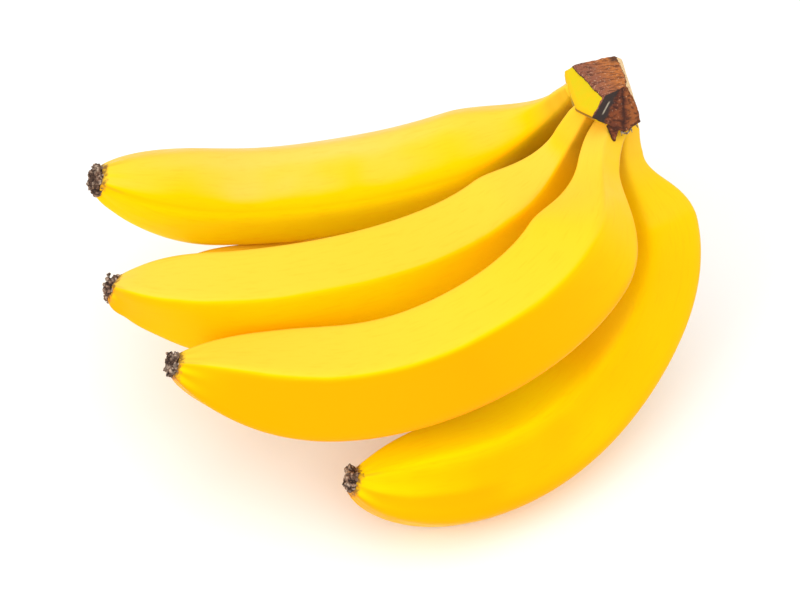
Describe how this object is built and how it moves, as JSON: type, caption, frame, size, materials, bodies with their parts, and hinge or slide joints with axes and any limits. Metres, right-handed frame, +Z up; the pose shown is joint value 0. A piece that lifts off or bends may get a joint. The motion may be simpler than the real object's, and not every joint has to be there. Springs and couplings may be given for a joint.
{
  "type": "hand of bananas",
  "caption": "Hand of ripe yellow dessert bananas joined at a cut crown, lying on the backs of its lower fruits with the blossom ends spread to one side.",
  "frame": {"origin": "on the surface that the hand lies on, under the middle of its bounding box", "axes": "+Z up; +X along the longest side, from the blossom ends to the crown; -Y is the side that the picture shows"},
  "size_m": [0.2224, 0.157, 0.1123],
  "materials": {
    "banana_peel": "smooth waxy peel, satin",
    "crown_rind": "smooth rind, satin",
    "dried_cut": "dry, fibrous, matt",
    "dried_blossom": "dry, crumbly, matt"
  },
  "bodies": {
    "root": {"banana_1": "banana_peel", "banana_2": "banana_peel", "banana_3": "banana_peel", "banana_4": "banana_peel", "banana_5": "banana_peel", "blossom_tip_1": "dried_blossom", "blossom_tip_2": "dried_blossom", "blossom_tip_3": "dried_blossom", "blossom_tip_4": "dried_blossom", "blossom_tip_5": "dried_blossom", "crown": "crown_rind", "crown_cut": "dried_cut"}
  },
  "joints": []
}
